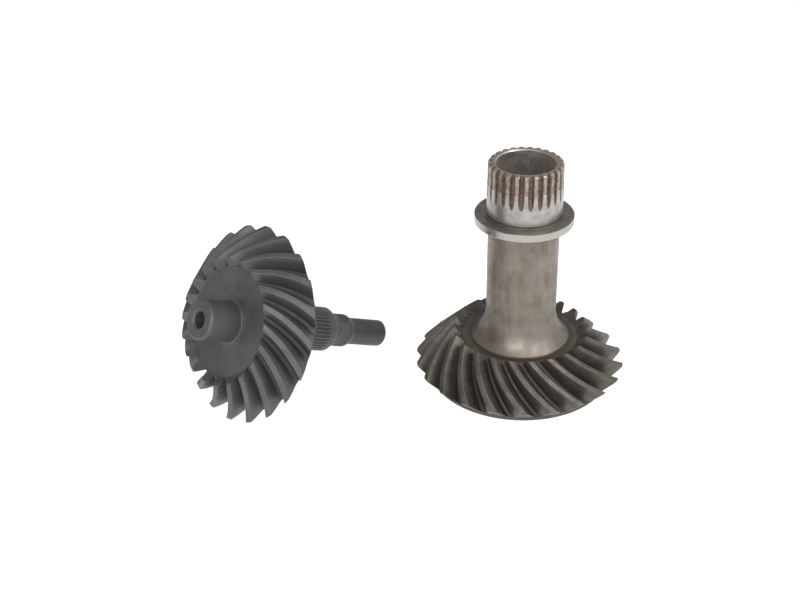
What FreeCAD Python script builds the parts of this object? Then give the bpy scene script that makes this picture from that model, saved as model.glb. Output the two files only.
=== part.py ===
import FreeCAD, Part
import math
import os

import Sketcher

# Ring and pinion gear set: a matched pair of spiral bevel gears, millimetres, +Z up.
# The ring gear is one forging with its hollow shaft and stands on its back face, on the origin.
# The pinion is one forging with its shaft and lies beside it, on two tooth tips and its shaft end.

SIZES = {
    # Tooth system shared by both gears
    "tooth_module": 5.0,
    "ring_teeth": 22,
    "pinion_teeth": 20,
    "face_width": 26.4,
    "pressure_angle": 24.0,
    "spiral_angle": 36.0,
    "cutter_radius": 76.2,
    "ring_addendum": 4.4,
    "ring_dedendum": 5.5,
    "pinion_addendum": 4.2,
    "pinion_dedendum": 5.2,
    "tooth_backlash": 0.15,
    # Ring gear and its hollow shaft
    "ring_pitch_height": 9.6,
    "ring_rim_radius": 49.6,
    "ring_tooth_phase": 7.0,
    "bore_radius": 15.8,
    "bore_chamfer": 0.8,
    "toe_floor_height": 24.9,
    "flare_foot_radius": 27.0,
    "flare_foot_height": 25.5,
    "flare_curve": 22.0,
    "tube_radius": 19.15,
    "flange_radius": 26.6,
    "flange_bottom": 95.4,
    "flange_thick": 4.3,
    "flange_bevel": 1.6,
    "shoulder_radius": 21.0,
    "shoulder_height": 100.4,
    "relief_radius": 19.7,
    "journal_bottom": 101.1,
    "journal_radius": 20.25,
    "journal_top": 118.3,
    "shaft_top": 129.3,
    # External spline at the top of the hollow shaft
    "spline_teeth": 25,
    "spline_tip_radius": 20.0,
    "spline_root_radius": 17.8,
    "spline_gap_tip": 2.9,
    "spline_gap_root": 1.7,
    "spline_hob_radius": 20.0,
    "spline_end_height": 110.3,
    "spline_chamfer": 0.8,
    # Pinion's front, with heights along its own axis from the crown plane
    "stub_radius": 10.8,
    "stub_end": 33.2,
    "stub_chamfer": 1.0,
    "stub_bevel": 1.0,
    "centre_hole_radius": 4.4,
    "centre_hole_depth": 12.0,
    "centre_sink": 0.8,
    "drill_point_angle": 118.0,
    "hub_radius": 13.5,
    "hub_height": 13.1,
    "dish_step": 0.5,
    "dish_height": 13.9,
    # Pinion's back and shaft, as depths below the crown plane
    "pinion_rim_radius": 38.8,
    "pinion_back_depth": 13.6,
    "boss_radius": 19.5,
    "boss_depth": 16.5,
    "seat_radius": 13.5,
    "seat_end": 37.8,
    "seat_chamfer": 0.4,
    "fine_teeth": 36,
    "fine_tip_radius": 12.3,
    "fine_root_radius": 11.5,
    "fine_root_share": 0.3,
    "fine_flank_angle": 30.0,
    "fine_spline_end": 49.5,
    "land_end": 53.3,
    "thread_start": 58.0,
    "thread_radius": 9.2,
    "thread_end": 68.6,
    "tail_radius": 7.5,
    "tail_start": 72.4,
    "tail_chamfer": 0.6,
    "tail_hole_radius": 2.2,
    "shaft_length": 97.5,
    # Where the pinion lies beside the ring gear
    "pinion_place_x": -147.8,
    "pinion_place_y": -24.7,
    "pinion_turn": 219.8,
    "rest_clearance": 0.06,
}

# Values worked out from the sizes above, held in the document as "worked"
WORKED = {
    "ring_cone": "atan(sizes.ring_teeth / sizes.pinion_teeth) / 1 deg",
    "pinion_cone": "atan(sizes.pinion_teeth / sizes.ring_teeth) / 1 deg",
    "ring_pitch_radius": "sizes.tooth_module * sizes.ring_teeth / 2",
    "pinion_pitch_radius": "sizes.tooth_module * sizes.pinion_teeth / 2",
    "cone_distance": "worked.ring_pitch_radius / sin(worked.ring_cone)",
    "middle_distance": "worked.cone_distance - sizes.face_width / 2",
    "cutter_centre": ("sqrt(worked.middle_distance ^ 2 + sizes.cutter_radius ^ 2"
                      " - 2 * worked.middle_distance * sizes.cutter_radius * sin(sizes.spiral_angle))"),
    "heel_sweep": ("acos((worked.cone_distance ^ 2 + worked.cutter_centre ^ 2 - sizes.cutter_radius ^ 2)"
                   " / (2 * worked.cone_distance * worked.cutter_centre)) / 1 deg"),
    "ring_face_cone": "worked.ring_cone + atan(sizes.pinion_dedendum / worked.cone_distance) / 1 deg",
    "pinion_face_cone": "worked.pinion_cone + atan(sizes.ring_dedendum / worked.cone_distance) / 1 deg",
    "ring_apex": "sizes.ring_pitch_height + worked.ring_pitch_radius / tan(worked.ring_cone)",
    "ring_crown_radius": "worked.ring_pitch_radius + sizes.ring_addendum * cos(worked.ring_cone)",
    "ring_crown_height": "sizes.ring_pitch_height + sizes.ring_addendum * sin(worked.ring_cone)",
    "ring_toe_radius": "worked.ring_crown_radius - sizes.face_width * sin(worked.ring_face_cone)",
    "ring_toe_height": "worked.ring_crown_height + sizes.face_width * cos(worked.ring_face_cone)",
    "pinion_pitch_height": "-sizes.pinion_addendum * sin(worked.pinion_cone)",
    "pinion_apex": "worked.pinion_pitch_height + worked.pinion_pitch_radius / tan(worked.pinion_cone)",
    "pinion_crown_radius": "worked.pinion_pitch_radius + sizes.pinion_addendum * cos(worked.pinion_cone)",
    "pinion_toe_radius": "worked.pinion_crown_radius - sizes.face_width * sin(worked.pinion_face_cone)",
    "pinion_toe_height": "sizes.face_width * cos(worked.pinion_face_cone)",
    "pinion_tip_half_land": ("(pi * sizes.tooth_module - sizes.tooth_backlash) / 4"
                             " - sizes.pinion_addendum * tan(sizes.pressure_angle)"
                             " - sizes.pinion_addendum ^ 2 / (2 * worked.pinion_pitch_radius"
                             " / cos(worked.pinion_cone) * sin(sizes.pressure_angle)"
                             " * cos(sizes.pressure_angle) ^ 3)"),
    "pinion_rest_angle": ("180 / sizes.pinion_teeth"
                          " - atan(worked.pinion_tip_half_land / worked.pinion_crown_radius) / 1 deg"),
    "pinion_rest_radius": "worked.pinion_crown_radius * cos(worked.pinion_rest_angle)",
    "pinion_tilt": ("atan((worked.pinion_rest_radius - sizes.tail_radius)"
                    " / (sizes.shaft_length - sizes.tail_chamfer)) / 1 deg"),
}
# How far cuts run past the metal, how many sections a tooth space takes, and the angle
# that the hob turns out of a spline gap
CUT_OVERRUN = 3.5
TIP_OVERRUN = 1.5
SECTIONS = 3
RUN_OUT_ANGLE = 40


def sheet_with(doc, values):
    sheet = doc.addObject("Spreadsheet::Sheet", "sizes")
    for row, (name, value) in enumerate(values.items(), start=1):
        sheet.set(f"A{row}", name)
        sheet.set(f"B{row}", str(value))
        sheet.setAlias(f"B{row}", name)
    doc.recompute()
    return sheet


def body_with_axes(doc, name):
    body = doc.addObject("PartDesign::Body", name)
    body.Label = name
    return body


def origin_feature(body, role):
    return next(f for f in body.Origin.OriginFeatures if f.Role == role)


def sketch_on(body, name, role):
    sketch = body.newObject("Sketcher::SketchObject", name)
    sketch.AttachmentSupport = (origin_feature(body, role), [""])
    sketch.MapMode = "FlatFace"
    return sketch


def number(owner, text):
    """Value of a sheet expression in millimetres or degrees."""
    value = owner.evalExpression(text)
    return float(getattr(value, "Value", value))


def arc_through(start, end, radius):
    """Arc from start to end; a positive radius bulges to the left of the way there."""
    chord = end - start
    side = FreeCAD.Vector(-chord.y, chord.x, 0).normalize()
    size = abs(radius)
    rise = size - math.sqrt(size ** 2 - (chord.Length / 2) ** 2)
    middle = (start + end) / 2 + side * math.copysign(rise, radius)
    return Part.Arc(start, middle, end)


def draw_outline(sketch, corners):
    """Closed outline; each corner is (x, y) or (x, y, radius of the arc to the next one)."""
    points = [FreeCAD.Vector(number(sketch, c[0]), number(sketch, c[1]), 0) for c in corners]
    arcs = [len(c) > 2 for c in corners]
    reversed_arc = []
    for index, corner in enumerate(corners):
        start, end = points[index], points[(index + 1) % len(points)]
        if arcs[index]:
            radius = number(sketch, corner[2])
            sketch.addGeometry(arc_through(start, end, radius), False)
            reversed_arc.append(radius > 0)
        else:
            sketch.addGeometry(Part.LineSegment(start, end), False)
            reversed_arc.append(False)
    first = [2 if flipped else 1 for flipped in reversed_arc]
    last = [1 if flipped else 2 for flipped in reversed_arc]
    for index in range(len(corners)):
        after = (index + 1) % len(corners)
        sketch.addConstraint(Sketcher.Constraint("Coincident", index, last[index], after, first[after]))
    for index, corner in enumerate(corners):
        for kind, text, value in (("DistanceX", corner[0], points[index].x), ("DistanceY", corner[1], points[index].y)):
            which = sketch.addConstraint(Sketcher.Constraint(kind, -1, 1, index, first[index], value))
            sketch.setExpression(f"Constraints[{which}]", text)
        if arcs[index]:
            which = sketch.addConstraint(Sketcher.Constraint("Radius", index, abs(number(sketch, corner[2]))))
            sketch.setExpression(f"Constraints[{which}]", f"abs({corner[2]})")
    return sketch


def revolve(body, name, corners):
    sketch = draw_outline(sketch_on(body, name + "_outline", "XZ_Plane"), corners)
    turned = body.newObject("PartDesign::Revolution", name)
    turned.Profile = sketch
    turned.ReferenceAxis = (sketch, ["V_Axis"])
    turned.Angle = 360
    return turned


def pattern_round(body, name, feature, count):
    pattern = body.newObject("PartDesign::PolarPattern", name)
    pattern.Originals = [feature]
    pattern.Axis = (origin_feature(body, "Z_Axis"), [""])
    pattern.Angle = 360
    pattern.setExpression("Occurrences", count)
    body.Tip = pattern
    return pattern


def worked_values(doc, values):
    worked = doc.addObject("App::VarSet", "worked")
    for name in values:
        worked.addProperty("App::PropertyFloat", name, "Worked")
    for name, text in values.items():
        worked.setExpression(name, text)
    doc.recompute()
    return worked


def space_section(body, gear, index, hand, phase):
    """Tooth space at one distance from the cone's tip, square to the pitch cone."""
    cone = f"worked.{gear}_cone"
    reach = (f"(worked.cone_distance + {CUT_OVERRUN}"
             f" - (sizes.face_width + 2 * {CUT_OVERRUN}) * {index} / {SECTIONS - 1})")
    scale = f"({reach} / worked.cone_distance)"
    sweep = (f"(acos(({reach} ^ 2 + worked.cutter_centre ^ 2 - sizes.cutter_radius ^ 2)"
             f" / (2 * {reach} * worked.cutter_centre)) / 1 deg)")
    turn = f"({phase} + {hand} * (worked.heel_sweep - {sweep}) / sin({cone}))"
    sketch = sketch_on(body, f"{gear}_space_{index}", "XY_Plane")
    sketch.setExpression("AttachmentOffset", (
        f"placement(rotationz({turn}) * vector({reach} * sin({cone}); 0;"
        f" worked.{gear}_apex - {reach} * cos({cone}));"
        f" rotationz({turn} + 90) * rotationx(180 - {cone}))"))
    bottom = f"(-sizes.{gear}_dedendum * {scale})"
    top = f"(sizes.{gear}_addendum * {scale} + {TIP_OVERRUN})"
    half_space = f"((pi * sizes.tooth_module * {scale} + sizes.tooth_backlash) / 4)"
    curve = f"({reach} * tan({cone}) * sin(sizes.pressure_angle))"

    def half_width(height):
        return (f"({half_space} + {height} * tan(sizes.pressure_angle)"
                f" + {height} ^ 2 / (2 * {curve} * cos(sizes.pressure_angle) ^ 3))")

    return draw_outline(sketch, [
        (f"-{half_width(bottom)}", bottom),
        (half_width(bottom), bottom),
        (half_width(top), top),
        (f"-{half_width(top)}", top),
    ])


def cut_teeth(body, gear, hand, phase):
    sections = [space_section(body, gear, index, hand, phase) for index in range(SECTIONS)]
    space = body.newObject("PartDesign::SubtractiveLoft", f"{gear}_space")
    space.Profile = sections[0]
    space.Sections = sections[1:]
    return pattern_round(body, f"{gear}_spaces", space, f"sizes.{gear}_teeth")


def cut_spline(body, name, top, end, count):
    """Straight gaps that a hob leaves with a curved run-out at their lower end."""
    root = f"sizes.{name}_root_radius"
    hob = f"sizes.{name}_hob_radius"
    outer = f"(sizes.{name}_tip_radius + {TIP_OVERRUN})"
    rise = f"(sizes.{name}_tip_radius - {root})"
    straight_end = f"({end} + sqrt({rise} * (2 * {hob} - {rise})))"
    path = sketch_on(body, f"{name}_path", "XZ_Plane")
    start = FreeCAD.Vector(number(path, root), number(path, f"{top} + {TIP_OVERRUN}"), 0)
    turn = FreeCAD.Vector(number(path, root), number(path, straight_end), 0)
    radius = number(path, hob)
    angle = math.radians(RUN_OUT_ANGLE)
    exit_point = turn + FreeCAD.Vector(radius * (1 - math.cos(angle)), -radius * math.sin(angle), 0)
    path.addGeometry(Part.LineSegment(start, turn), False)
    path.addGeometry(Part.Arc(turn, turn + FreeCAD.Vector(
        radius * (1 - math.cos(angle / 2)), -radius * math.sin(angle / 2), 0), exit_point), False)
    for kind, text, value, point in (
            ("DistanceX", root, start.x, 1), ("DistanceY", f"{top} + {TIP_OVERRUN}", start.y, 1),
            ("DistanceX", root, turn.x, 2), ("DistanceY", straight_end, turn.y, 2)):
        which = path.addConstraint(Sketcher.Constraint(kind, -1, 1, 0, point, value))
        path.setExpression(f"Constraints[{which}]", text)
    path.addConstraint(Sketcher.Constraint("Tangent", 0, 2, 1, 1))
    which = path.addConstraint(Sketcher.Constraint("Radius", 1, radius))
    path.setExpression(f"Constraints[{which}]", hob)
    reach_out = f"{root} + {hob} * (1 - cos({RUN_OUT_ANGLE}))"
    which = path.addConstraint(Sketcher.Constraint("DistanceX", -1, 1, 1, 2, exit_point.x))
    path.setExpression(f"Constraints[{which}]", reach_out)
    gap = sketch_on(body, f"{name}_gap", "XY_Plane")
    gap.setExpression("AttachmentOffset.Base.z", f"{top} + {TIP_OVERRUN}")
    widen = f"((sizes.{name}_gap_tip - sizes.{name}_gap_root) / {rise} * {TIP_OVERRUN})"
    half_tip = f"((sizes.{name}_gap_tip + {widen}) / 2)"
    half_root = f"(sizes.{name}_gap_root / 2)"
    draw_outline(gap, [
        (root, f"-{half_root}"), (outer, f"-{half_tip}"), (outer, half_tip), (root, half_root)])
    cut = body.newObject("PartDesign::SubtractivePipe", name)
    cut.Profile = gap
    cut.Spine = path
    return pattern_round(body, f"{name}_gaps", cut, count)


def ring_gear_shaft(doc):
    """Ring gear forged in one with its hollow shaft: teeth, flared foot, tube, flange, journal, spline."""
    body = body_with_axes(doc, "ring_gear_shaft")
    foot_rise = "(sizes.flare_foot_radius - sizes.tube_radius)"
    flare_top = (f"sizes.flare_foot_height"
                 f" + sqrt({foot_rise} * (2 * sizes.flare_curve - {foot_rise}))")
    revolve(body, "ring_blank", [
        ("sizes.bore_radius", "0"),
        ("sizes.ring_rim_radius", "0"),
        ("sizes.ring_rim_radius",
         "sizes.ring_pitch_height - (worked.ring_pitch_radius - sizes.ring_rim_radius) * tan(worked.ring_cone)"),
        ("worked.ring_crown_radius", "worked.ring_crown_height"),
        ("worked.ring_toe_radius", "worked.ring_toe_height"),
        ("worked.ring_toe_radius - (worked.ring_toe_height - sizes.toe_floor_height) / tan(worked.ring_cone)",
         "sizes.toe_floor_height"),
        ("sizes.flare_foot_radius", "sizes.toe_floor_height"),
        ("sizes.flare_foot_radius", "sizes.flare_foot_height", "sizes.flare_curve"),
        ("sizes.tube_radius", flare_top),
        ("sizes.tube_radius", "sizes.flange_bottom - sizes.flange_bevel"),
        ("sizes.tube_radius + sizes.flange_bevel", "sizes.flange_bottom"),
        ("sizes.flange_radius", "sizes.flange_bottom"),
        ("sizes.flange_radius", "sizes.flange_bottom + sizes.flange_thick"),
        ("sizes.shoulder_radius", "sizes.flange_bottom + sizes.flange_thick"),
        ("sizes.shoulder_radius", "sizes.shoulder_height"),
        ("sizes.relief_radius", "sizes.shoulder_height"),
        ("sizes.relief_radius", "sizes.journal_bottom"),
        ("sizes.journal_radius", "sizes.journal_bottom"),
        ("sizes.journal_radius", "sizes.journal_top"),
        ("sizes.spline_tip_radius", "sizes.journal_top"),
        ("sizes.spline_tip_radius", "sizes.shaft_top - sizes.spline_chamfer"),
        ("sizes.spline_tip_radius - sizes.spline_chamfer", "sizes.shaft_top"),
        ("sizes.bore_radius + sizes.bore_chamfer", "sizes.shaft_top"),
        ("sizes.bore_radius", "sizes.shaft_top - sizes.bore_chamfer"),
    ])
    cut_teeth(body, "ring", 1, "sizes.ring_tooth_phase + 180 / sizes.ring_teeth")
    cut_spline(body, "spline", "sizes.shaft_top", "sizes.spline_end_height", "sizes.spline_teeth")
    return body


def pinion_shaft(doc):
    """Pinion forged in one with its shaft: stub journal, teeth, bearing seat, fine spline, threaded tail."""
    body = body_with_axes(doc, "pinion_shaft")
    revolve(body, "pinion_blank", [
        ("0", "sizes.stub_end - sizes.centre_hole_depth - sizes.centre_hole_radius / tan(sizes.drill_point_angle / 2)"),
        ("sizes.centre_hole_radius", "sizes.stub_end - sizes.centre_hole_depth"),
        ("sizes.centre_hole_radius", "sizes.stub_end - sizes.centre_sink"),
        ("sizes.centre_hole_radius + sizes.centre_sink", "sizes.stub_end"),
        ("sizes.stub_radius - sizes.stub_chamfer", "sizes.stub_end"),
        ("sizes.stub_radius", "sizes.stub_end - sizes.stub_chamfer"),
        ("sizes.stub_radius", "sizes.hub_height + sizes.stub_bevel"),
        ("sizes.stub_radius + sizes.stub_bevel", "sizes.hub_height"),
        ("sizes.hub_radius", "sizes.hub_height"),
        ("sizes.hub_radius", "sizes.hub_height - sizes.dish_step"),
        ("worked.pinion_toe_radius - (worked.pinion_toe_height - sizes.dish_height) / tan(worked.pinion_cone)",
         "sizes.dish_height"),
        ("worked.pinion_toe_radius", "worked.pinion_toe_height"),
        ("worked.pinion_crown_radius", "0"),
        ("sizes.pinion_rim_radius", "-(worked.pinion_crown_radius - sizes.pinion_rim_radius) * tan(worked.pinion_cone)"),
        ("sizes.pinion_rim_radius", "-sizes.pinion_back_depth"),
        ("sizes.boss_radius", "-sizes.pinion_back_depth"),
        ("sizes.boss_radius", "-sizes.boss_depth"),
        ("sizes.seat_radius", "-sizes.boss_depth"),
        ("sizes.seat_radius", "-(sizes.seat_end - sizes.seat_chamfer)"),
        ("sizes.seat_radius - sizes.seat_chamfer", "-sizes.seat_end"),
        ("sizes.fine_tip_radius", "-sizes.seat_end"),
        ("sizes.fine_tip_radius", "-sizes.land_end"),
        ("sizes.thread_radius", "-sizes.thread_start"),
        ("sizes.thread_radius", "-sizes.thread_end"),
        ("sizes.tail_radius", "-sizes.tail_start"),
        ("sizes.tail_radius", "-(sizes.shaft_length - sizes.tail_chamfer)"),
        ("sizes.tail_radius - sizes.tail_chamfer", "-sizes.shaft_length"),
        ("sizes.tail_hole_radius", "-sizes.shaft_length"),
        ("0", "-(sizes.shaft_length - sizes.tail_hole_radius)"),
    ])
    cut_teeth(body, "pinion", -1, "0")
    gap = sketch_on(body, "fine_gap", "XY_Plane")
    gap.setExpression("AttachmentOffset.Base.z", "-sizes.seat_end")
    outer = f"(sizes.fine_tip_radius + {TIP_OVERRUN})"
    half_root = "(pi * sizes.fine_tip_radius / sizes.fine_teeth * sizes.fine_root_share)"
    slope = "tan(sizes.fine_flank_angle)"
    half_outer = f"({half_root} + ({outer} - sizes.fine_root_radius) * {slope})"
    draw_outline(gap, [
        ("sizes.fine_root_radius", f"-{half_root}"), (outer, f"-{half_outer}"),
        (outer, half_outer), ("sizes.fine_root_radius", half_root)])
    cut = body.newObject("PartDesign::Pocket", "fine_spline")
    cut.Profile = gap
    cut.setExpression("Length", "sizes.fine_spline_end - sizes.seat_end")
    pattern_round(body, "fine_spline_gaps", cut, "sizes.fine_teeth")
    body.setExpression("Placement", (
        "placement(vector(sizes.pinion_place_x; sizes.pinion_place_y;"
        " worked.pinion_rest_radius * cos(worked.pinion_tilt) + sizes.rest_clearance);"
        " rotationz(sizes.pinion_turn) * rotationy(90 - worked.pinion_tilt))"))
    return body


def check_objects(doc, parts):
    for item in doc.Objects:
        if "Invalid" in item.State or "Error" in item.State:
            raise RuntimeError(f"{item.Label} failed: {item.getStatusString()}")
    for body in parts:
        if body.Shape.isNull() or not body.Shape.isValid() or len(body.Shape.Solids) != 1:
            raise RuntimeError(f"{body.Label} is not one sound solid")


def build():
    doc = FreeCAD.newDocument("ring_and_pinion")
    sheet_with(doc, SIZES)
    worked_values(doc, WORKED)
    parts = [ring_gear_shaft(doc), pinion_shaft(doc)]
    doc.recompute()
    check_objects(doc, parts)
    os.makedirs("parts", exist_ok=True)
    for body in parts:
        body.Shape.exportStep(f"parts/{body.Label}.step")
        box = body.Shape.BoundBox
        print(body.Label, "volume", round(body.Shape.Volume), "lowest", round(box.ZMin, 3))


build()
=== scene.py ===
import math

import bmesh
import bpy
import numpy as np
from mathutils import Matrix, Vector


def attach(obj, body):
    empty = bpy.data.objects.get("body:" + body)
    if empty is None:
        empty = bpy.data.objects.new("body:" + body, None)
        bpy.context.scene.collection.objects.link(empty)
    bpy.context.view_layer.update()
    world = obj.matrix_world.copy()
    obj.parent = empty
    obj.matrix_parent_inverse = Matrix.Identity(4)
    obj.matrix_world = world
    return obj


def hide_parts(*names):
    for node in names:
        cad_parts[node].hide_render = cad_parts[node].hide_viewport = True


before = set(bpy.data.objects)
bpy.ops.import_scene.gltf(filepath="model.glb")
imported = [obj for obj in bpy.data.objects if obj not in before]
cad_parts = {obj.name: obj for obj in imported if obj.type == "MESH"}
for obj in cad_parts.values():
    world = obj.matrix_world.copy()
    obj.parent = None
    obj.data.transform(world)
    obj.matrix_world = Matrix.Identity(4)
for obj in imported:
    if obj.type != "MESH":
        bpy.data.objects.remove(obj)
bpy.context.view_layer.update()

# Ring gear with its hollow shaft: one steel forging, turned all over and bored right through.
# Its 22 spiral teeth and 25 spline teeth are cut, and the journal above the flange is ground.
# It stands on its back face; all its sizes are in millimetres, with heights from that face.
PRESSURE = math.radians(24)
SPIRAL = math.radians(36)
CUTTER_RADIUS = 76.2
BACKLASH = 0.15
ROOT_ROUND = 1.2
END_BEVEL = 0.35
FACE_STEPS = 14
FLANK_STEPS = 4
RING_TEETH = 22
RING_COLUMNS = 550
RING_TURN = 360 / RING_COLUMNS
# A gear's cone and taper are angles in radians, its phase one in degrees. Its floor and rim are
# the (radius, height) where the teeth run out on the turned faces, inside and outside. Its columns
# to a tooth space are an odd number, so that no point stands in the middle of a space.
RING = {
    "teeth": RING_TEETH,
    "columns": RING_COLUMNS // RING_TEETH,
    "cone": math.radians(42),
    "distance": 81.64,
    "face": 29.0,
    "addendum": 4.4,
    "dedendum": 5.5,
    "taper": math.radians(4),
    "apex": 67.23,
    "hand": 1,
    "phase": 7.0 + 180 / RING_TEETH,
    "floor": (31.7, 24.9),
    "rim": (49.6, 2.03),
    "round": 0.55,
}


def cutter_sweep(gear, reach):
    """Angle, in degrees, that the face cutter's arc has turned at a distance from the cone's tip."""
    middle = gear["distance"] - gear["face"] / 2
    centre = math.sqrt(middle ** 2 + CUTTER_RADIUS ** 2 - 2 * middle * CUTTER_RADIUS * math.sin(SPIRAL))
    cosine = (reach ** 2 + centre ** 2 - CUTTER_RADIUS ** 2) / (2 * reach * centre)
    return math.degrees(math.acos(cosine))


def gear_turn(gear, reach):
    """Where the middle of a tooth space stands, in degrees round the gear's axis."""
    swept = cutter_sweep(gear, gear["distance"]) - cutter_sweep(gear, reach)
    return gear["phase"] + gear["hand"] * swept / math.sin(gear["cone"])


def space_half_width(gear, reach, height):
    """Half the width of a tooth space at a height above the pitch cone, with a curved flank."""
    pitch_half = (2 * math.pi * reach * math.sin(gear["cone"]) / gear["teeth"] + BACKLASH) / 4
    curve = reach * math.tan(gear["cone"]) * math.sin(PRESSURE)
    bulge = 1 if height > 0 else -0.5
    return (pitch_half + height * math.tan(PRESSURE)
            + height * abs(height) / (2 * curve * math.cos(PRESSURE) ** 3) * bulge)


def space_profile(gear, reach, lowered):
    """Half a tooth space, from its middle up to the tooth's crest, as (offset, height, wear_and_highlight,
    depth).
    """
    share = reach / gear["distance"]
    root = -gear["dedendum"] * share
    tip = gear["addendum"] - (gear["distance"] - reach) * math.tan(gear["taper"]) - lowered
    fillet = ROOT_ROUND * share
    bevel = gear["round"]
    side = space_half_width(gear, reach, root)
    points = [
        (0.0, root, 0.0, 0.0),
        (0.5 * (side - fillet * 0.8), root, 0.0, 0.0),
        (side - fillet * 0.8, root, 0.0, 0.02),
        (side - fillet * 0.25, root + fillet * 0.22, 0.0, 0.08),
    ]
    flank_foot = root + fillet * 0.75
    for step in range(FLANK_STEPS + 1):
        height = flank_foot + (tip - bevel - flank_foot) * step / FLANK_STEPS
        wear_and_highlight = 0.2 if step == FLANK_STEPS else 0.0
        points.append((space_half_width(gear, reach, height), height, wear_and_highlight, 0.15 + 0.8 * step / FLANK_STEPS))
    shoulder = tip - bevel * 0.28
    points.append((space_half_width(gear, reach, shoulder) + bevel * 0.25, shoulder, 1.0, 1.0))
    points.append((space_half_width(gear, reach, tip) + bevel * 0.9, tip, 0.6, 1.0))
    return points


def across_gap(side, middle, centre):
    """Row over a gap: the side's points mirrored, the centre's points if any, and the side's points."""
    left = [(r, middle - a, z, wear_and_highlight, depth) for r, a, z, wear_and_highlight, depth in reversed(side)]
    between = [(r, middle + a, z, wear_and_highlight, depth) for r, a, z, wear_and_highlight, depth in centre]
    right = [(r, middle + a, z, wear_and_highlight, depth) for r, a, z, wear_and_highlight, depth in side]
    return left + between + right


def tooth_rows(gear):
    """Rows of points over one tooth space and half a land each side, from the rim to the toe."""
    cone = gear["cone"]
    heel = gear["distance"]
    toe = heel - gear["face"] * math.cos(gear["taper"])
    bevelled_face = heel - toe - 2 * END_BEVEL
    reaches = [(heel, END_BEVEL)]
    for k in range(FACE_STEPS + 1):
        reaches.append((heel - END_BEVEL - bevelled_face * k / FACE_STEPS, 0.0))
    reaches.append((toe, END_BEVEL))
    pitch = 360 / gear["teeth"]
    step = pitch / gear["columns"]
    rows = []
    for reach, lowered in reaches:
        half = []
        for offset, height, wear_and_highlight, depth in space_profile(gear, reach, lowered):
            radius = reach * math.sin(cone) + height * math.cos(cone)
            level = gear["apex"] - reach * math.cos(cone) + height * math.sin(cone)
            if lowered and depth > 0.1:
                wear_and_highlight = 0.8
            half.append((radius, math.degrees(offset / radius), level, wear_and_highlight, depth))
        tip_radius, tip_angle, tip_level = half[-1][:3]
        lands = (gear["columns"] + 1) // 2 - len(half) + 1
        for k in range(1, lands + 1):
            angle = tip_angle + (pitch / 2 - tip_angle) * k / lands
            half.append((tip_radius, angle, tip_level, 0.25, 1.0))
        rows.append(across_gap(half[1:], gear_turn(gear, reach), []))
    ends = []
    for spot, row in (("rim", rows[0]), ("floor", rows[-1])):
        radius, level = gear[spot]
        start = round(row[0][1] / step) * step
        ends.append([(radius, start + step * k, level, 0.0, 0.3) for k in range(gear["columns"] + 1)])
    return [ends[0]] + rows + [ends[1]]


ROUND_CHORDS = 2
SUPPORT = 0.25
SUPPORT_ROOM = 0.6


def rounded(corners):
    """Outline of (radius, height, wear_and_highlight) points; a corner's third number is its rounding's
    radius.
    """
    points = []
    for place, corner in enumerate(corners):
        here = Vector(corner[:2])
        if len(corner) < 3 or place in (0, len(corners) - 1):
            points.append((corner[0], corner[1], 0.0))
            continue
        radius = corner[2]
        before = Vector(corners[place - 1][:2]) - here
        after = Vector(corners[place + 1][:2]) - here
        half_angle = before.angle(after) / 2
        back = radius / math.tan(half_angle)
        start = here + before.normalized() * back
        end = here + after.normalized() * back
        if before.length > 2 * back + SUPPORT_ROOM:
            spot = here + before.normalized() * (back + SUPPORT)
            points.append((spot.x, spot.y, 0.0))
        inward = (before.normalized() + after.normalized()).normalized()
        centre = here + inward * radius / math.sin(half_angle)
        for k in range(ROUND_CHORDS + 1):
            mix = (start - centre).lerp(end - centre, k / ROUND_CHORDS)
            spot = centre + mix.normalized() * radius
            points.append((spot.x, spot.y, 1.0))
        if after.length > 2 * back + SUPPORT_ROOM:
            spot = here + after.normalized() * (back + SUPPORT)
            points.append((spot.x, spot.y, 0.0))
    return points


def arc_points(start, end, centre, chords):
    """Points of an arc between two outline points, both left out."""
    first = math.atan2(start[1] - centre[1], start[0] - centre[0])
    last = math.atan2(end[1] - centre[1], end[0] - centre[0])
    if last - first > math.pi:
        last -= 2 * math.pi
    radius = math.dist(start, centre)
    angles = [first + (last - first) * k / chords for k in range(1, chords)]
    return [(centre[0] + radius * math.cos(a), centre[1] + radius * math.sin(a)) for a in angles]


def lathe_rows(outline, turn):
    """Two columns of points, one column's turn apart, along an outline."""
    return [[(r, 0.0, z, wear_and_highlight, 0.6), (r, turn, z, wear_and_highlight, 0.6)] for r, z, wear_and_highlight in outline]


def strip(name, rows):
    """Quads between rows of (radius, angle, height, wear_and_highlight, depth), with the marks that finishes
    read.
    """
    table = np.array(rows)
    count, across = table.shape[:2]
    radius, angle, level = table[:, :, 0], np.radians(table[:, :, 1]), table[:, :, 2]
    spots = np.stack([radius * np.cos(angle), radius * np.sin(angle), level], axis=2)
    corner = (np.arange(count - 1)[:, None] * across + np.arange(across - 1)).ravel()
    quads = np.stack([corner, corner + 1, corner + across + 1, corner + across], axis=1)
    mesh = bpy.data.meshes.new(name)
    mesh.from_pydata((spots.reshape(-1, 3) / 1000).tolist(), [], quads.tolist())
    # The third mark flags rubbed edges and crests, which the finishes lighten both as wear and as a painted
    # highlight.
    marks = (("out", radius), ("along", level), ("wear_and_highlight", table[:, :, 3]), ("depth", table[:, :, 4]))
    for title, values in marks:
        layer = mesh.attributes.new(title, "FLOAT", "POINT")
        layer.data.foreach_set("value", values.astype(np.float32).ravel())
    return mesh


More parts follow.
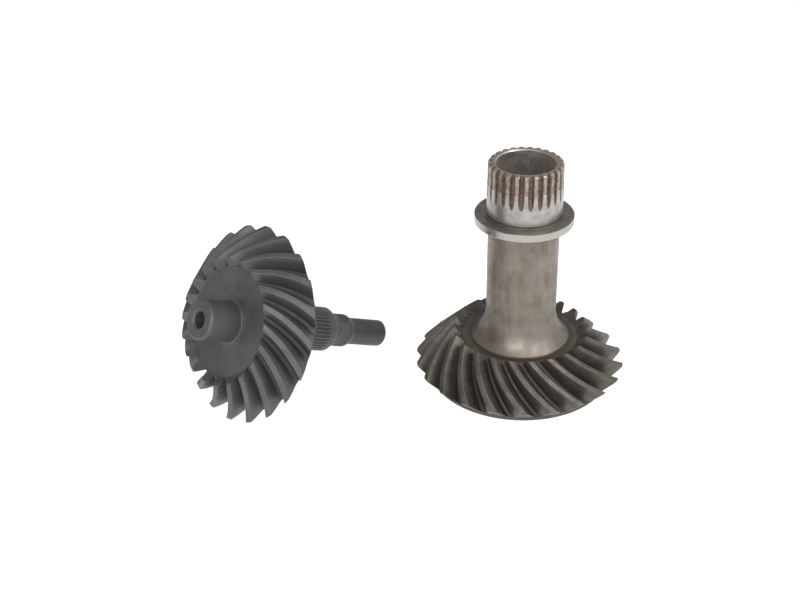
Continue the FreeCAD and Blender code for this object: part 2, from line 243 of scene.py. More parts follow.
def copies_tree():
    """Node tree that sets copies of a strip round the axis, one after the other."""
    tree = bpy.data.node_groups.new("copies_round_axis", "GeometryNodeTree")
    tree.interface.new_socket("Strip", in_out="INPUT", socket_type="NodeSocketGeometry")
    tree.interface.new_socket("Copies", in_out="INPUT", socket_type="NodeSocketInt")
    tree.interface.new_socket("Finish", in_out="INPUT", socket_type="NodeSocketMaterial")
    tree.interface.new_socket("Body", in_out="OUTPUT", socket_type="NodeSocketGeometry")
    nodes, links = tree.nodes, tree.links
    given = nodes.new("NodeGroupInput")
    spots = nodes.new("GeometryNodeMeshLine")
    spots.inputs["Offset"].default_value = (0, 0, 0)
    number = nodes.new("GeometryNodeInputIndex")
    share = nodes.new("ShaderNodeMath")
    share.operation = "DIVIDE"
    turn = nodes.new("ShaderNodeMath")
    turn.operation = "MULTIPLY"
    turn.inputs[1].default_value = 2 * math.pi
    spin = nodes.new("ShaderNodeCombineXYZ")
    spread = nodes.new("GeometryNodeInstanceOnPoints")
    real = nodes.new("GeometryNodeRealizeInstances")
    paint = nodes.new("GeometryNodeSetMaterial")
    made = nodes.new("NodeGroupOutput")
    links.new(given.outputs["Copies"], spots.inputs["Count"])
    links.new(number.outputs[0], share.inputs[0])
    links.new(given.outputs["Copies"], share.inputs[1])
    links.new(share.outputs[0], turn.inputs[0])
    links.new(turn.outputs[0], spin.inputs["Z"])
    links.new(spots.outputs[0], spread.inputs["Points"])
    links.new(given.outputs["Strip"], spread.inputs["Instance"])
    links.new(spin.outputs[0], spread.inputs["Rotation"])
    links.new(spread.outputs[0], real.inputs[0])
    links.new(real.outputs[0], paint.inputs["Geometry"])
    links.new(given.outputs["Finish"], paint.inputs["Material"])
    links.new(paint.outputs[0], made.inputs[0])
    return tree


COPIES = copies_tree()


def turned(mesh, copies, finish):
    """Plain mesh of that many copies of a strip, with its finish."""
    holder = bpy.data.objects.new(mesh.name, mesh)
    bpy.context.scene.collection.objects.link(holder)
    modifier = holder.modifiers.new("copies", "NODES")
    modifier.node_group = COPIES
    inputs = [item for item in COPIES.interface.items_tree if item.in_out == "INPUT"]
    sockets = {item.name: item.identifier for item in inputs}
    modifier[sockets["Copies"]] = copies
    modifier[sockets["Finish"]] = finish
    seen = bpy.context.evaluated_depsgraph_get()
    made = bpy.data.meshes.new_from_object(
        holder.evaluated_get(seen), preserve_all_data_layers=True, depsgraph=seen)
    holder.modifiers.remove(modifier)
    bpy.data.objects.remove(holder)
    made.materials.clear()
    made.materials.append(finish)
    return made


WELD = 4e-6
SHARP_ANGLE = math.radians(32)


def one_shell(name, parts, place):
    """One closed mesh of all the turned parts, welded where their edges meet, with its normals outward."""
    spots = []
    quads = []
    marks = {}
    paints = []
    finishes = []
    start = 0
    for part in parts:
        corners = np.zeros(len(part.loops), np.int32)
        part.loops.foreach_get("vertex_index", corners)
        flat = np.zeros(len(part.vertices) * 3, np.float32)
        part.vertices.foreach_get("co", flat)
        spots.append(flat.reshape(-1, 3))
        quads.append(corners.reshape(-1, 4) + start)
        for title in ("out", "along", "wear_and_highlight", "depth"):
            values = np.zeros(len(part.vertices), np.float32)
            part.attributes[title].data.foreach_get("value", values)
            marks.setdefault(title, []).append(values)
        if part.materials[0] not in finishes:
            finishes.append(part.materials[0])
        paints.append(np.full(len(quads[-1]), finishes.index(part.materials[0]), np.int32))
        start += len(part.vertices)
    mesh = bpy.data.meshes.new(name)
    mesh.from_pydata(np.concatenate(spots).tolist(), [], np.concatenate(quads).tolist())
    for finish in finishes:
        mesh.materials.append(finish)
    mesh.polygons.foreach_set("material_index", np.concatenate(paints))
    for title, values in marks.items():
        layer = mesh.attributes.new(title, "FLOAT", "POINT")
        layer.data.foreach_set("value", np.concatenate(values))
    shell = bmesh.new()
    shell.from_mesh(mesh)
    bmesh.ops.remove_doubles(shell, verts=shell.verts, dist=WELD)
    bmesh.ops.recalc_face_normals(shell, faces=shell.faces)
    shell.to_mesh(mesh)
    shell.free()
    mesh.transform(place)
    mesh.polygons.foreach_set("use_smooth", [True] * len(mesh.polygons))
    mesh.set_sharp_from_angle(angle=SHARP_ANGLE)
    body = bpy.data.objects.new(name, mesh)
    bpy.context.scene.collection.objects.link(body)
    evener = body.modifiers.new("even_normals", "WEIGHTED_NORMAL")
    evener.keep_sharp = True
    evener.weight = 60
    return body


class Finish:
    """A procedural finish, built up node by node."""

    def __init__(self, name):
        self.material = bpy.data.materials.new(name)
        self.material.use_nodes = True
        self.nodes = self.material.node_tree.nodes
        self.links = self.material.node_tree.links
        self.shader = self.nodes["Principled BSDF"]
        self.place = self.nodes.new("ShaderNodeTexCoord").outputs["Object"]
        self.bumps = None

    def mark(self, title):
        """What a named mark on the surface says."""
        node = self.nodes.new("ShaderNodeAttribute")
        node.attribute_name = title
        return node.outputs["Fac"]

    def math(self, operation, first, second):
        """A sum on two values, each a number or a socket."""
        node = self.nodes.new("ShaderNodeMath")
        node.operation = operation
        for socket, value in zip(node.inputs, (first, second)):
            if isinstance(value, (int, float)):
                socket.default_value = value
            else:
                self.links.new(value, socket)
        return node.outputs[0]

    def band(self, value, low, high, start=0.0, end=1.0):
        """Smooth change from start to end as a value goes from low to high."""
        node = self.nodes.new("ShaderNodeMapRange")
        node.interpolation_type = "SMOOTHSTEP"
        self.links.new(value, node.inputs["Value"])
        node.inputs["From Min"].default_value = low
        node.inputs["From Max"].default_value = high
        node.inputs["To Min"].default_value = start
        node.inputs["To Max"].default_value = end
        return node.outputs[0]

    def noise(self, size, detail=4.0, rough=0.55, place=None):
        """Mottle about that many millimetres across."""
        node = self.nodes.new("ShaderNodeTexNoise")
        node.inputs["Scale"].default_value = 1000 / size
        node.inputs["Detail"].default_value = detail
        node.inputs["Roughness"].default_value = rough
        self.links.new(place or self.place, node.inputs["Vector"])
        return node.outputs["Fac"]

    def stretched(self, along):
        """The surface's place with the way up the axis drawn out, for streaks."""
        node = self.nodes.new("ShaderNodeVectorMath")
        node.operation = "MULTIPLY"
        node.inputs[1].default_value = (1, 1, along)
        self.links.new(self.place, node.inputs[0])
        return node.outputs[0]

    def lathe_lines(self, size):
        """Fine rings round the axis, as a turning tool leaves them."""
        node = self.nodes.new("ShaderNodeCombineXYZ")
        self.links.new(self.math("MULTIPLY", self.mark("out"), 0.001), node.inputs["X"])
        self.links.new(self.math("MULTIPLY", self.mark("along"), 0.001), node.inputs["Y"])
        return self.noise(size, 3.0, 0.6, node.outputs[0])

    def blend(self, share, first, second):
        """Mix of two colours, each a list of numbers or a socket, by the mix node's colour sockets."""
        node = self.nodes.new("ShaderNodeMix")
        node.data_type = "RGBA"
        self.links.new(share, node.inputs[0])
        for socket, colour in ((node.inputs[6], first), (node.inputs[7], second)):
            if isinstance(colour, (list, tuple)):
                socket.default_value = (*colour, 1)
            else:
                self.links.new(colour, socket)
        return node.outputs[2]

    def colour(self, socket):
        """The colour of the surface."""
        self.links.new(socket, self.shader.inputs["Base Color"])

    def rough(self, socket):
        """How dull the surface is."""
        self.links.new(socket, self.shader.inputs["Roughness"])

    def metal(self, value):
        """How much of the surface is bare metal, a number or a socket."""
        if isinstance(value, (int, float)):
            self.shader.inputs["Metallic"].default_value = value
        else:
            self.links.new(value, self.shader.inputs["Metallic"])

    def bump(self, height, depth, strength):
        """Adds relief of that many millimetres."""
        node = self.nodes.new("ShaderNodeBump")
        node.inputs["Strength"].default_value = strength
        node.inputs["Distance"].default_value = depth / 1000
        self.links.new(height, node.inputs["Height"])
        if self.bumps is not None:
            self.links.new(self.bumps, node.inputs["Normal"])
        self.bumps = node.outputs[0]
        self.links.new(self.bumps, self.shader.inputs["Normal"])


FLARE_FOOT = (27.0, 25.5)
FLARE_RADIUS = 22.0
FLARE_TOP = (19.15, 42.35)
TUBE_RADIUS = FLARE_TOP[0]
GROOVE_HEIGHT = 45.3
FLANGE_RADIUS = 26.6
FLANGE_BOTTOM = 95.4
FLANGE_TOP = 99.7
FLANGE_FILLET = 2.0
SHOULDER_RADIUS = 21.0
SHOULDER_TOP = 100.4
RELIEF_RADIUS = 19.7
JOURNAL_BOTTOM = 101.1
JOURNAL_TOP = 118.3
JOURNAL_RADIUS = 20.25
SHAFT_TOP = 129.3
SPLINE_TEETH = 25
SPLINE_COLUMNS = RING_COLUMNS // SPLINE_TEETH
SPLINE_TIP = 20.0
SPLINE_ROOT = 17.8
GAP_TIP = 2.9
GAP_ROOT = 1.7
HOB_RADIUS = 20.0
RUN_OUT_END = 110.3
RUN_OUT_ROWS = 8
BORE = 15.8
BORE_CHAMFER = 0.8
BACK_MIDDLE = 24.0


def toothed_steel():
    """Hardened teeth: dull olive and brown grey with purple tints, painted shade near black deep in the
    spaces, and rubbed crests lightened further as a painted highlight.
    """
    finish = Finish("ring_teeth_dull_steel")
    depth = finish.mark("depth")
    wear_and_highlight = finish.mark("wear_and_highlight")
    cloud = finish.band(finish.noise(8.0, 5.0), 0.35, 0.65)
    skin = finish.blend(cloud, (0.085, 0.080, 0.062), (0.135, 0.118, 0.095))
    tint = finish.math("MULTIPLY", finish.band(finish.noise(13.0, 3.0), 0.46, 0.66), 0.7)
    skin = finish.blend(tint, skin, (0.090, 0.080, 0.094))
    # Painted shade: near black at the roots of the tooth spaces, fading out up the flanks.
    deep = finish.blend(finish.band(depth, 0.0, 0.4), (0.050, 0.044, 0.044), skin)
    # Rubbed crests and edges, lightened further as a painted highlight.
    edge = finish.math("MULTIPLY", wear_and_highlight, finish.band(finish.noise(2.2, 4.0), 0.35, 0.7, 0.0, 0.4))
    finish.colour(finish.blend(edge, deep, (0.18, 0.17, 0.155)))
    finish.rough(finish.band(finish.noise(3.0, 5.0), 0.3, 0.75, 0.42, 0.60))
    finish.metal(0.6)
    finish.bump(finish.noise(0.9, 5.0), 0.03, 0.6)
    return finish.material


def turned_steel():
    """Turned skin of tube, foot, flange and bore: brown-grey with faint rings, streaks and stains; bright
    steel in the bore, raised further as painted light.
    """
    finish = Finish("ring_turned_brown_steel")
    out = finish.mark("out")
    along = finish.mark("along")
    cloud = finish.band(finish.noise(14.0, 5.0), 0.32, 0.68)
    skin = finish.blend(cloud, (0.165, 0.132, 0.108), (0.240, 0.205, 0.176))
    streaks = finish.noise(4.0, 5.0, 0.6, finish.stretched(0.2))
    skin = finish.blend(finish.band(streaks, 0.42, 0.7, 0.0, 0.45), skin, (0.275, 0.250, 0.228))
    foot = finish.band(along, 46.0, 38.0)
    skin = finish.blend(finish.math("MULTIPLY", foot, 0.35), skin, (0.330, 0.300, 0.262))
    speck = finish.math("MULTIPLY", finish.band(finish.noise(2.6, 6.0, 0.7), 0.60, 0.74), 0.5)
    skin = finish.blend(speck, skin, (0.090, 0.058, 0.042))
    low = finish.math("MULTIPLY", finish.band(along, 26.2, 25.0), finish.band(along, 23.0, 24.5))
    skin = finish.blend(finish.math("MULTIPLY", low, 0.9), skin, (0.105, 0.068, 0.042))
    edge = finish.band(out, FLANGE_RADIUS - 0.2, FLANGE_RADIUS - 0.05)
    rim = finish.math("MULTIPLY", edge, finish.band(along, FLANGE_BOTTOM - 1.4, FLANGE_BOTTOM - 0.4))
    skin = finish.blend(rim, skin, (0.42, 0.40, 0.38))
    # Bore: bright bored steel whose colour is raised further as painted light, for the light its walls would
    # catch near the mouth.
    inside = finish.band(out, BORE + 1.0, BORE + 0.1)
    finish.colour(finish.blend(inside, skin, (0.66, 0.62, 0.58)))
    bright = finish.math("MAXIMUM", rim, inside)
    finish.metal(finish.band(bright, 0.0, 1.0, 0.72, 0.92))
    dull = finish.band(finish.noise(5.0, 5.0), 0.3, 0.7, 0.36, 0.52)
    finish.rough(finish.math("SUBTRACT", dull, finish.math("MULTIPLY", bright, 0.12)))
    finish.bump(finish.lathe_lines(0.45), 0.02, 0.55)
    finish.bump(finish.noise(1.1, 5.0), 0.02, 0.5)
    return finish.material


def splined_steel():
    """Ground journal and cut spline: bright band, brown rust down in the gaps, dull tooth tips."""
    finish = Finish("ring_spline_ground_steel")
    depth = finish.mark("depth")
    along = finish.mark("along")
    cloud = finish.band(finish.noise(6.0, 4.0), 0.3, 0.7)
    ground = finish.blend(cloud, (0.30, 0.29, 0.28), (0.44, 0.43, 0.41))
    mottle = finish.band(finish.noise(3.0, 5.0), 0.35, 0.65)
    tip = finish.blend(mottle, (0.22, 0.185, 0.155), (0.36, 0.32, 0.28))
    land = finish.blend(finish.band(along, JOURNAL_TOP - 0.3, JOURNAL_TOP + 0.4), ground, tip)
    top = finish.band(along, SHAFT_TOP - 1.1, SHAFT_TOP - 0.4, 0.0, 0.8)
    land = finish.blend(top, land, (0.40, 0.37, 0.34))
    crust = finish.band(finish.noise(1.8, 6.0, 0.65), 0.3, 0.7)
    rust = finish.blend(crust, (0.080, 0.045, 0.030), (0.210, 0.135, 0.098))
    finish.colour(finish.blend(finish.band(depth, 0.95, 0.55), land, rust))
    finish.metal(finish.band(depth, 0.5, 1.0, 0.15, 0.85))
    finish.rough(finish.band(depth, 0.5, 1.0, 0.7, 0.34))
    finish.bump(finish.lathe_lines(0.3), 0.008, 0.6)
    return finish.material


def spline_rows():
    """Rows over one spline gap and half a tooth each side, from the journal's foot to the top."""
    rise = SPLINE_TIP - SPLINE_ROOT
    straight_end = RUN_OUT_END + math.sqrt(rise * (2 * HOB_RADIUS - rise))
    slope = (GAP_TIP - GAP_ROOT) / 2 / rise
    tooth_half = 180 / SPLINE_TEETH
    heights = [(JOURNAL_BOTTOM, JOURNAL_RADIUS - 0.5), (JOURNAL_BOTTOM, JOURNAL_RADIUS - 0.2)]
    heights += [(JOURNAL_BOTTOM + 0.2, JOURNAL_RADIUS), (105.0, JOURNAL_RADIUS), (109.5, JOURNAL_RADIUS)]
    for k in range(RUN_OUT_ROWS):
        share = (k / (RUN_OUT_ROWS + 1)) ** 1.3
        heights.append((RUN_OUT_END + 0.02 + (straight_end - RUN_OUT_END) * share, JOURNAL_RADIUS))
    heights += [(JOURNAL_TOP - 0.15, JOURNAL_RADIUS), (JOURNAL_TOP, JOURNAL_RADIUS - 0.1)]
    heights += [(JOURNAL_TOP, SPLINE_TIP), (straight_end + 0.5, SPLINE_TIP), (124.0, SPLINE_TIP)]
    heights += [(SHAFT_TOP - 0.9, SPLINE_TIP), (SHAFT_TOP - 0.75, SPLINE_TIP - 0.06)]
    heights += [(SHAFT_TOP - 0.06, SPLINE_TIP - 0.75), (SHAFT_TOP, SPLINE_TIP - 0.9)]
    rows = []
    for level, outer in heights:
        drop = max(0.0, straight_end - level)
        hob_depth = outer - SPLINE_ROOT - HOB_RADIUS + math.sqrt(HOB_RADIUS ** 2 - drop ** 2)
        deep = max(0.0, hob_depth) if level > RUN_OUT_END else 0.0
        root = outer - deep
        foot = GAP_ROOT / 2 * min(1.0, (deep / 1.2) ** 0.5)
        mouth = foot + deep * slope
        bevel = min(0.15, deep * 0.3)
        half = [(0.0, root, 0), (foot * 0.5, root, 0), (foot, root, 0)]
        half += [(foot + (mouth - foot) * k / 3, root + (deep - bevel) * k / 3, k / 3) for k in (1, 2, 3)]
        half.append((mouth + bevel, outer, 1))
        side = []
        for offset, radius, share in half:
            depth = 1.0 if deep < 0.02 else 1.0 - (1 - share) * min(1.0, deep / 0.7)
            side.append((radius, math.degrees(offset / radius), level, 0.0, depth))
        first = math.degrees((mouth + bevel) / outer)
        lands = SPLINE_COLUMNS // 2 + 1 - len(half)
        for k in range(1, lands + 1):
            side.append((outer, first + (tooth_half - first) * k / lands, level, 0.0, 1.0))
        rows.append(across_gap(side[1:], 0.0, side[:1]))
    ring = [RING_TURN * k - tooth_half for k in range(SPLINE_COLUMNS + 1)]
    foot_ring = [(RELIEF_RADIUS, angle, JOURNAL_BOTTOM, 0.0, 1.0) for angle in ring]
    lip_ring = [(SPLINE_ROOT - 0.12, angle, SHAFT_TOP, 0.0, 1.0) for angle in ring]
    bore_ring = [(BORE + BORE_CHAMFER, angle, SHAFT_TOP, 0.0, 1.0) for angle in ring]
    return [foot_ring] + rows + [lip_ring, bore_ring]


def ring_strip(name, corners, finish):
    """Turned surface of the ring gear's side along an outline."""
    return turned(strip(name, lathe_rows(rounded(corners), RING_TURN)), RING_COLUMNS, finish)


flare_centre = (FLARE_TOP[0] + FLARE_RADIUS, FLARE_TOP[1])
fillet_start = (TUBE_RADIUS, FLANGE_BOTTOM - FLANGE_FILLET)
fillet_end = (TUBE_RADIUS + FLANGE_FILLET, FLANGE_BOTTOM)
fillet_centre = (fillet_end[0], fillet_start[1])
floor_height = RING["floor"][1]
floor_outline = [RING["floor"], (30.7, floor_height), (29.7, floor_height)]
tube_outline = [(29.7, floor_height), (28.2, floor_height), (27.25, floor_height), (27.0, 25.1), FLARE_FOOT]
tube_outline += arc_points(FLARE_FOOT, FLARE_TOP, flare_centre, 14)
tube_outline += [FLARE_TOP, (TUBE_RADIUS, GROOVE_HEIGHT - 0.1), (TUBE_RADIUS - 0.1, GROOVE_HEIGHT)]
tube_outline += [(TUBE_RADIUS, GROOVE_HEIGHT + 0.1), (TUBE_RADIUS, 70.0), (TUBE_RADIUS, 92.8)]
tube_outline += arc_points(fillet_start, fillet_end, fillet_centre, 5)
tube_outline += [fillet_end, (FLANGE_RADIUS, FLANGE_BOTTOM, 0.35), (FLANGE_RADIUS, FLANGE_TOP, 0.35)]
tube_outline += [(SHOULDER_RADIUS, FLANGE_TOP), (SHOULDER_RADIUS, SHOULDER_TOP, 0.2)]
tube_outline += [(RELIEF_RADIUS, SHOULDER_TOP), (RELIEF_RADIUS, JOURNAL_BOTTOM)]
bore_outline = [(BORE + BORE_CHAMFER, SHAFT_TOP), (BORE, SHAFT_TOP - BORE_CHAMFER), (BORE, 100.0)]
bore_outline += [(BORE, 60.0), (BORE, 30.0), (BORE, 0.6), (BORE + 0.6, 0.0), (BACK_MIDDLE, 0.0)]
base_outline = [(BACK_MIDDLE, 0.0), (RING["rim"][0], 0.0, 0.5), RING["rim"]]
teeth_finish = toothed_steel()
turned_finish = turned_steel()
spline_finish = splined_steel()
ring_parts = [
    turned(strip("ring_tooth_space", tooth_rows(RING)), RING_TEETH, teeth_finish),
    ring_strip("ring_floor_strip", floor_outline, teeth_finish),
    ring_strip("ring_base_strip", base_outline, teeth_finish),
    ring_strip("ring_shaft_strip", tube_outline, turned_finish),
    turned(strip("ring_spline_gap", spline_rows()), SPLINE_TEETH, spline_finish),
    ring_strip("ring_bore_strip", bore_outline, turned_finish),
]
ring_gear = one_shell("ring_gear_with_hollow_shaft", ring_parts, Matrix.Identity(4))
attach(ring_gear, "root")
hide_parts("ring_gear_shaft")

# Pinion with its solid shaft: one hardened steel forging with a dark phosphate coat all over.
# Twenty spiral teeth, a plain stub in front, and behind it a bearing seat, fine splines, a thread
# and a plain tail; it lies on two teeth and the end of its tail. Heights run along its own axis.
PINION_TEETH = 20
PINION_COLUMNS = 540
PINION_TURN = 360 / PINION_COLUMNS
PINION_DISTANCE = 74.33
PINION = {
    "teeth": PINION_TEETH,
    "columns": PINION_COLUMNS // PINION_TEETH,
    "cone": math.atan(PINION_TEETH / RING_TEETH),
    "distance": PINION_DISTANCE,
    "face": 26.4,
    "addendum": 4.2,
    "dedendum": 5.2,
    "taper": math.atan(RING["dedendum"] / PINION_DISTANCE),
    "apex": 52.175,
    "hand": -1,
    "phase": 0.0,
    "floor": (29.26, 13.9),
    "rim": (38.8, -13.0),
    "round": 0.35,
}
STUB_RADIUS = 10.8
STUB_END = 33.2
CENTRE_HOLE = 4.4
HUB_RADIUS = 13.5
HUB_HEIGHT = 13.1
BACK_HEIGHT = -13.6
BOSS_RADIUS = 19.5
BOSS_END = -16.5
SEAT_RADIUS = 13.5
SEAT_END = -37.8
SEAT_CHAMFER = 0.4
FINE_TEETH = 36
FINE_COLUMNS = PINION_COLUMNS // FINE_TEETH
FINE_TIP = 12.3
FINE_ROOT = 11.5
FINE_FOOT = 0.32
FINE_SLOPE = 0.577
FINE_BEVEL = 0.06
FINE_END = -50.8
LAND_END = -53.3
THREAD_START = -60.0
THREAD_END = -67.4
THREAD_RADIUS = 9.2
THREAD_DEPTH = 0.62
THREAD_PITCH = 1.55
THREAD_ROWS = 34
VALLEY_HALF = 0.36
TAIL_RADIUS = 7.5
TAIL_GROOVE = 7.38
TAIL_CHAMFER = 0.6
TAIL_HOLE = 2.2
SHAFT_END = -97.5
PINION_PLACE = (-147.8, -24.7)
PINION_HEADING = math.radians(219.8)
TABLE_GAP = 0.06


def fine_rows():
    """Rows over one fine spline gap and half a rib each side, from the bearing seat back."""
    rows = []
    step = 360 / FINE_TEETH
    shift = PINION_TURN / 2
    shares = ((SEAT_END, 1.0), (-43.0, 1.0), (-48.6, 1.0), (-49.2, 0.85), (-49.8, 0.5), (-50.3, 0.0))
    for level, share in shares:
        root = FINE_TIP - (FINE_TIP - FINE_ROOT) * share
        mouth = FINE_FOOT + (FINE_TIP - root) * FINE_SLOPE
        flank = FINE_TIP - FINE_BEVEL - root
        profile = [(root, FINE_FOOT * 0.5), (root, FINE_FOOT)]
        profile += [(root + flank * k / 2, FINE_FOOT + (mouth - FINE_FOOT) * k / 2) for k in (1, 2)]
        profile.append((FINE_TIP, mouth + FINE_BEVEL))
        last = len(profile) - 1
        half = []
        for number, (radius, offset) in enumerate(profile):
            wear_and_highlight = 1.0 if number == last else 0.0
            half.append((radius, math.degrees(offset / radius), level, wear_and_highlight, number / last))
        tip_angle = half[-1][1]
        lands = (FINE_COLUMNS + 1) // 2 - len(half)
        for k in range(1, lands + 1):
            half.append((FINE_TIP, tip_angle + (step / 2 - tip_angle) * k / lands, level, 0.5, 1.0))
        rows.append(across_gap(half, shift, []))
    ring = [shift - step / 2 + PINION_TURN * k for k in range(FINE_COLUMNS + 1)]
    seat_ring = [(SEAT_RADIUS - SEAT_CHAMFER, angle, SEAT_END, 0.3, 0.6) for angle in ring]
    land_ring = [(FINE_TIP, angle, FINE_END, 0.0, 1.0) for angle in ring]
    return [seat_ring] + rows + [land_ring]


def thread_rows():
    """Rows all round the threaded stretch, with a crest that climbs and fades at both ends."""
    rows = []
    for step in range(THREAD_ROWS + 1):
        level = THREAD_START - (THREAD_START - THREAD_END) * step / THREAD_ROWS
        fade = min(1.0, (THREAD_START - level) / THREAD_PITCH, (level - THREAD_END) / THREAD_PITCH)
        row = []
        for column in range(PINION_COLUMNS + 1):
            turn = (column % PINION_COLUMNS) / PINION_COLUMNS
            wave = (level / THREAD_PITCH + turn) % 1.0
            valley = max(0.0, 1 - abs(wave - 0.5) / VALLEY_HALF)
            radius = THREAD_RADIUS - THREAD_DEPTH * valley * max(0.0, fade)
            angle = 360 * turn if column < PINION_COLUMNS else 360.0
            row.append((radius, angle, level, 0.6 * (1 - valley), 1 - 0.8 * valley * fade))
        rows.append(row)
    return rows


def phosphated_steel():
    """Dark grey phosphate coat: matt, fine grained, paler where edges are rubbed and with a painted
    highlight there, painted shade deep in spaces, gaps and grooves, darkest on the tail.
    """
    finish = Finish("pinion_phosphate_coat")
    depth = finish.mark("depth")
    wear_and_highlight = finish.mark("wear_and_highlight")
    along = finish.mark("along")
    cloud = finish.band(finish.noise(16.0, 5.0), 0.3, 0.7)
    coat = finish.blend(cloud, (0.080, 0.080, 0.078), (0.112, 0.112, 0.108))
    coat = finish.blend(finish.band(along, -52.0, -70.0, 0.0, 0.7), coat, (0.055, 0.053, 0.053))
    # Painted shade: near black down in the tooth spaces, fine spline gaps and thread grooves.
    deep = finish.blend(finish.band(depth, 0.0, 0.4), (0.055, 0.055, 0.056), coat)
    # Rubbed edges, lightened further as a painted highlight.
    rub_and_painted_highlight = finish.math("MULTIPLY", wear_and_highlight, finish.band(finish.noise(3.0, 4.0), 0.3, 0.7, 0.05, 0.4))
    finish.colour(finish.blend(rub_and_painted_highlight, deep, (0.20, 0.20, 0.195)))
    finish.rough(finish.band(finish.noise(6.0, 4.0), 0.3, 0.7, 0.48, 0.62))
    finish.metal(0.4)
    finish.bump(finish.lathe_lines(0.7), 0.02, 0.5)
    finish.bump(finish.noise(0.7, 4.0), 0.02, 0.5)
    return finish.material


def pinion_strip(name, corners, finish):
    """Turned surface of the pinion's side along an outline."""
    return turned(strip(name, lathe_rows(rounded(corners), PINION_TURN)), PINION_COLUMNS, finish)


def lying_place():
    """Where the pinion lies: on the tips of two teeth and the edge of its tail."""
    pitch_radius = PINION["distance"] * math.sin(PINION["cone"])
    crown_radius = pitch_radius + PINION["addendum"] * math.cos(PINION["cone"])
    tip_space = space_half_width(PINION, PINION["distance"], PINION["addendum"])
    half_land = math.pi * pitch_radius / PINION_TEETH - tip_space
    rest_angle = math.pi / PINION_TEETH - math.atan(half_land / crown_radius)
    rest_radius = crown_radius * math.cos(rest_angle)
    tilt = math.atan((rest_radius - TAIL_RADIUS) / (-SHAFT_END - TAIL_CHAMFER))
    height = rest_radius * math.cos(tilt) + TABLE_GAP
    spot = Vector((*PINION_PLACE, height)) / 1000
    heading = Matrix.Rotation(PINION_HEADING, 4, "Z")
    return Matrix.Translation(spot) @ heading @ Matrix.Rotation(math.radians(90) - tilt, 4, "Y")


front_outline = [PINION["floor"], (16.6, 12.95), (16.3, 12.75, 0.2), (HUB_RADIUS, HUB_HEIGHT - 0.5)]
front_outline += [(HUB_RADIUS, HUB_HEIGHT, 0.25), (11.8, HUB_HEIGHT), (11.0, 13.6), (STUB_RADIUS, 14.3)]
front_outline += [(STUB_RADIUS, STUB_END - 1.0, 0.3), (STUB_RADIUS - 1.0, STUB_END, 0.3)]
front_outline += [(CENTRE_HOLE + 0.9, STUB_END, 0.1), (CENTRE_HOLE, STUB_END - 1.0)]
front_outline += [(CENTRE_HOLE, 20.6), (0.0, 17.6)]
back_radius = PINION["rim"][0]
back_outline = [PINION["rim"], (back_radius, BACK_HEIGHT), (back_radius - 0.5, BACK_HEIGHT)]
back_outline += [(BOSS_RADIUS, BACK_HEIGHT), (BOSS_RADIUS, BOSS_END, 0.5), (SEAT_RADIUS, BOSS_END)]
back_outline += [(SEAT_RADIUS, SEAT_END + SEAT_CHAMFER), (SEAT_RADIUS - SEAT_CHAMFER, SEAT_END)]
neck_outline = [(FINE_TIP, FINE_END), (FINE_TIP, LAND_END, 0.3), (THREAD_RADIUS, -58.0, 0.6)]
neck_outline.append((THREAD_RADIUS, THREAD_START))
tail_outline = [(THREAD_RADIUS, THREAD_END), (THREAD_RADIUS, -68.6, 0.3), (TAIL_RADIUS, -72.4, 0.4)]
tail_outline += [(TAIL_RADIUS, -78.7), (TAIL_GROOVE, -78.85), (TAIL_GROOVE, -79.6), (TAIL_RADIUS, -79.75)]
tail_outline += [(TAIL_RADIUS, SHAFT_END + TAIL_CHAMFER, 0.4), (TAIL_RADIUS - TAIL_CHAMFER, SHAFT_END, 0.4)]
tail_outline += [(TAIL_HOLE, SHAFT_END), (0.0, SHAFT_END + TAIL_HOLE)]
coat = phosphated_steel()
pinion_parts = [
    turned(strip("pinion_tooth_space", tooth_rows(PINION)), PINION_TEETH, coat),
    pinion_strip("pinion_front_strip", front_outline, coat),
    pinion_strip("pinion_back_strip", back_outline, coat),
    turned(strip("pinion_fine_gap", fine_rows()), FINE_TEETH, coat),
    pinion_strip("pinion_neck_strip", neck_outline, coat),
    turned(strip("pinion_thread", thread_rows()), 1, coat),
    pinion_strip("pinion_tail_strip", tail_outline, coat),
]
pinion = one_shell("pinion_with_shaft", pinion_parts, lying_place())
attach(pinion, "root")
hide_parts("pinion_shaft")

# Photographer's table: a wide sheet of pale card, lit softly from above, the right and the front.
# It isn't part of the gear set; the camera looks at the set as the photograph's camera did.
floor_mesh = bpy.data.meshes.new("table")
floor_mesh.from_pydata([(-6, -6, 0), (6, -6, 0), (6, 6, 0), (-6, 6, 0)], [], [(0, 1, 2, 3)])
floor = bpy.data.objects.new("table", floor_mesh)
bpy.context.scene.collection.objects.link(floor)
card = Finish("pale_card")
card.colour(card.blend(card.noise(900.0), (0.35, 0.35, 0.35), (0.37, 0.37, 0.37)))
card.shader.inputs["Emission Color"].default_value = (1, 1, 1, 1)
card.shader.inputs["Emission Strength"].default_value = 0.9
card.shader.inputs["Roughness"].default_value = 0.9
card.shader.inputs["Specular IOR Level"].default_value = 0.1
floor_mesh.materials.append(card.material)


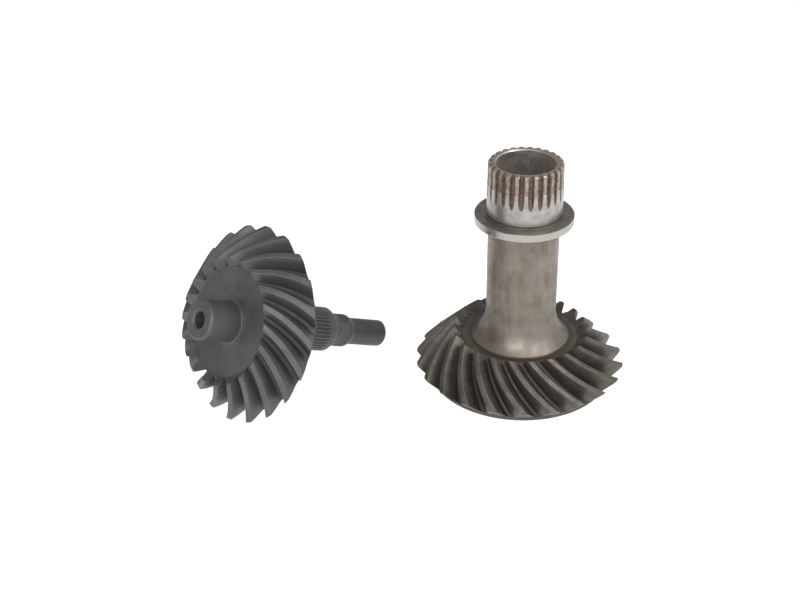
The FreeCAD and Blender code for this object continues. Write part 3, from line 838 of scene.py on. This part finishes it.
def studio():
    """World of dim walls, warmer and darker on the left than on the right."""
    world = bpy.data.worlds.new("studio")
    world.use_nodes = True
    sky = world.node_tree
    direction = sky.nodes.new("ShaderNodeTexCoord").outputs["Generated"]
    split = sky.nodes.new("ShaderNodeSeparateXYZ")
    sky.links.new(direction, split.inputs[0])
    across = sky.nodes.new("ShaderNodeMapRange")
    across.inputs["From Min"].default_value = -0.9
    across.inputs["From Max"].default_value = 0.9
    sky.links.new(split.outputs["X"], across.inputs["Value"])
    walls = sky.nodes.new("ShaderNodeMix")
    walls.data_type = "RGBA"
    walls.inputs[6].default_value = (0.28, 0.27, 0.26, 1)
    walls.inputs[7].default_value = (0.58, 0.62, 0.66, 1)
    sky.links.new(across.outputs[0], walls.inputs[0])
    sky.links.new(walls.outputs[2], sky.nodes["Background"].inputs["Color"])
    return world


def soft_light(name, place, aim, size, power):
    """A square soft box at a place, turned towards a point."""
    lamp = bpy.data.lights.new(name, "AREA")
    lamp.shape = "SQUARE"
    lamp.size = size
    lamp.energy = power
    holder = bpy.data.objects.new(name, lamp)
    bpy.context.scene.collection.objects.link(holder)
    holder.location = place
    holder.rotation_mode = "QUATERNION"
    holder.rotation_quaternion = (Vector(aim) - Vector(place)).to_track_quat("-Z", "Y")


bpy.context.scene.view_settings.view_transform = "Standard"
bpy.context.scene.world = studio()
soft_light("key", (0.9, -0.7, 1.1), (-0.03, 0, 0.05), 0.8, 11)
soft_light("front", (-0.35, -1.3, 0.9), (-0.06, 0, 0.05), 0.9, 12)

CAMERA_PLACE = (-0.0665, -0.6896, 0.4441)
CAMERA_PITCH = math.radians(29.94)
CAMERA_ROLL = math.radians(-0.6)
camera_data = bpy.data.cameras.new("camera")
camera_data.sensor_width = 36
camera_data.lens = 65.25
camera = bpy.data.objects.new("camera", camera_data)
bpy.context.scene.collection.objects.link(camera)
ahead = Vector((0, math.cos(CAMERA_PITCH), -math.sin(CAMERA_PITCH)))
level_right = Vector((1, 0, 0))
level_up = Vector((0, math.sin(CAMERA_PITCH), math.cos(CAMERA_PITCH)))
right = math.cos(CAMERA_ROLL) * level_right + math.sin(CAMERA_ROLL) * level_up
up = -math.sin(CAMERA_ROLL) * level_right + math.cos(CAMERA_ROLL) * level_up
turn = Matrix((right, up, -ahead)).transposed().to_4x4()
camera.matrix_world = Matrix.Translation(CAMERA_PLACE) @ turn
bpy.context.scene.camera = camera
